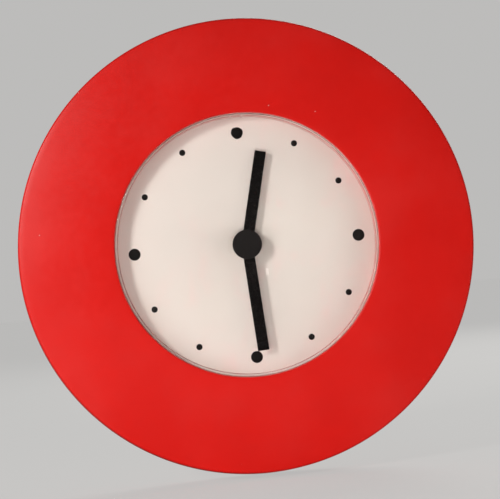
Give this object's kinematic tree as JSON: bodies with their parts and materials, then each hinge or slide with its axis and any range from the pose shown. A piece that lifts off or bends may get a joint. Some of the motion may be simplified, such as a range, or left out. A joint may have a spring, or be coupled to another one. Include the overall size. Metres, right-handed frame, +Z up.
{
  "type": "wall clock",
  "caption": "Round wall clock with a broad red moulded ring, a recessed white dial with dots, black bar hands under a clear lens, and a battery movement behind.",
  "frame": {"origin": "on the spindle axis, in the plane of the wall that the rear rim rests on", "axes": "+Y into the wall, away from the viewer; +Z up to 12 o'clock; +X towards 3 o'clock; the dial faces -Y"},
  "size_m": [0.35, 0.0375, 0.35],
  "materials": {
    "red_case": "satin-gloss moulded red",
    "lens_clear": "polished clear",
    "dial_white": "matt off-white, printed",
    "plate_white": "fine moulded texture",
    "hand_black": "gloss black",
    "cap_black": "satin black",
    "movement_black": "fine moulded texture",
    "knob_black": "ribbed edge, satin",
    "gear_plastic": "natural acetal",
    "brass": "turned",
    "steel": "zinc plated",
    "rubber": "matt",
    "copper_wire": "enamelled copper wire",
    "magnet": "sintered",
    "board_green": "solder mask",
    "chip_black": "potting resin",
    "battery_sleeve": "printed sleeve, no lettering"
  },
  "bodies": {
    "root": {"case_ring": "red_case", "lens": "lens_clear", "dial": "dial_white", "back_plate": "plate_white", "back_plate_screw_1": "steel", "back_plate_screw_2": "steel", "back_plate_screw_3": "steel", "back_plate_screw_4": "steel", "hanger_plate": "steel", "hanger_screw_left": "steel", "hanger_screw_right": "steel", "movement_front_housing": "movement_black", "movement_back_cover": "movement_black", "train_bridge": "gear_plastic", "rubber_gasket": "rubber", "brass_washer": "brass", "bush_nut": "brass", "stator": "steel", "coil_core": "steel", "coil_bobbin": "gear_plastic", "coil_winding": "copper_wire", "circuit_board": "board_green", "timing_chip": "chip_black", "quartz_crystal": "steel", "battery_contact_positive": "steel", "battery_contact_negative": "steel"},
    "minute_train": {"minute_hand": "hand_black", "centre_cap": "cap_black", "cannon_pinion": "brass"},
    "hour_train": {"hour_hand": "hand_black", "hour_wheel": "gear_plastic"},
    "minute_wheel": {"minute_wheel": "gear_plastic"},
    "setting_knob": {"setting_knob": "knob_black"},
    "centre_wheel": {"centre_wheel": "brass"},
    "third_wheel": {"third_wheel": "gear_plastic"},
    "second_wheel": {"second_wheel": "gear_plastic"},
    "step_wheel": {"step_wheel": "gear_plastic"},
    "rotor": {"rotor_pinion": "gear_plastic", "rotor_magnet": "magnet"},
    "battery": {"aa_battery": "battery_sleeve"}
  },
  "joints": [
    {"name": "minute_hand_turn", "type": "hinge", "parent": "root", "child": "minute_train", "pos_m": [0, 0, 0], "axis": [0, 1, 0], "continuous": true},
    {"name": "hour_hand_turn", "type": "hinge", "parent": "root", "child": "hour_train", "pos_m": [0, 0, 0], "axis": [0, 1, 0], "continuous": true},
    {"name": "minute_wheel_turn", "type": "hinge", "parent": "root", "child": "minute_wheel", "pos_m": [0.00287, 0, 0.00789], "axis": [0, 1, 0], "continuous": true},
    {"name": "setting_knob_turn", "type": "hinge", "parent": "root", "child": "setting_knob", "pos_m": [0.00575, 0, 0.01579], "axis": [0, 1, 0], "continuous": true},
    {"name": "step_wheel_turn", "type": "hinge", "parent": "root", "child": "step_wheel", "pos_m": [-0.00677, 0, -0.00246], "axis": [0, 1, 0], "continuous": true},
    {"name": "rotor_turn", "type": "hinge", "parent": "root", "child": "rotor", "pos_m": [-0.01237, 0, -0.00246], "axis": [0, 1, 0], "continuous": true},
    {"name": "second_wheel_turn", "type": "hinge", "parent": "root", "child": "second_wheel", "pos_m": [0, 0, 0], "axis": [0, 1, 0], "continuous": true},
    {"name": "third_wheel_turn", "type": "hinge", "parent": "root", "child": "third_wheel", "pos_m": [0.01004, 0, 0.00088], "axis": [0, 1, 0], "continuous": true},
    {"name": "centre_wheel_turn", "type": "hinge", "parent": "root", "child": "centre_wheel", "pos_m": [0, 0, 0], "axis": [0, 1, 0], "continuous": true},
    {"name": "battery_slide", "type": "slide", "parent": "root", "child": "battery", "axis": [0, 1, 0], "range_m": [0, 0.018]}
  ],
  "couplings": [
    {"joint": "hour_hand_turn", "follows": "minute_hand_turn", "ratio": 0.083333},
    {"joint": "minute_wheel_turn", "follows": "minute_hand_turn", "ratio": -0.33333},
    {"joint": "setting_knob_turn", "follows": "minute_hand_turn", "ratio": 1},
    {"joint": "rotor_turn", "follows": "step_wheel_turn", "ratio": -6},
    {"joint": "second_wheel_turn", "follows": "step_wheel_turn", "ratio": -0.2},
    {"joint": "third_wheel_turn", "follows": "step_wheel_turn", "ratio": 0.026667},
    {"joint": "centre_wheel_turn", "follows": "step_wheel_turn", "ratio": -0.0033333}
  ]
}
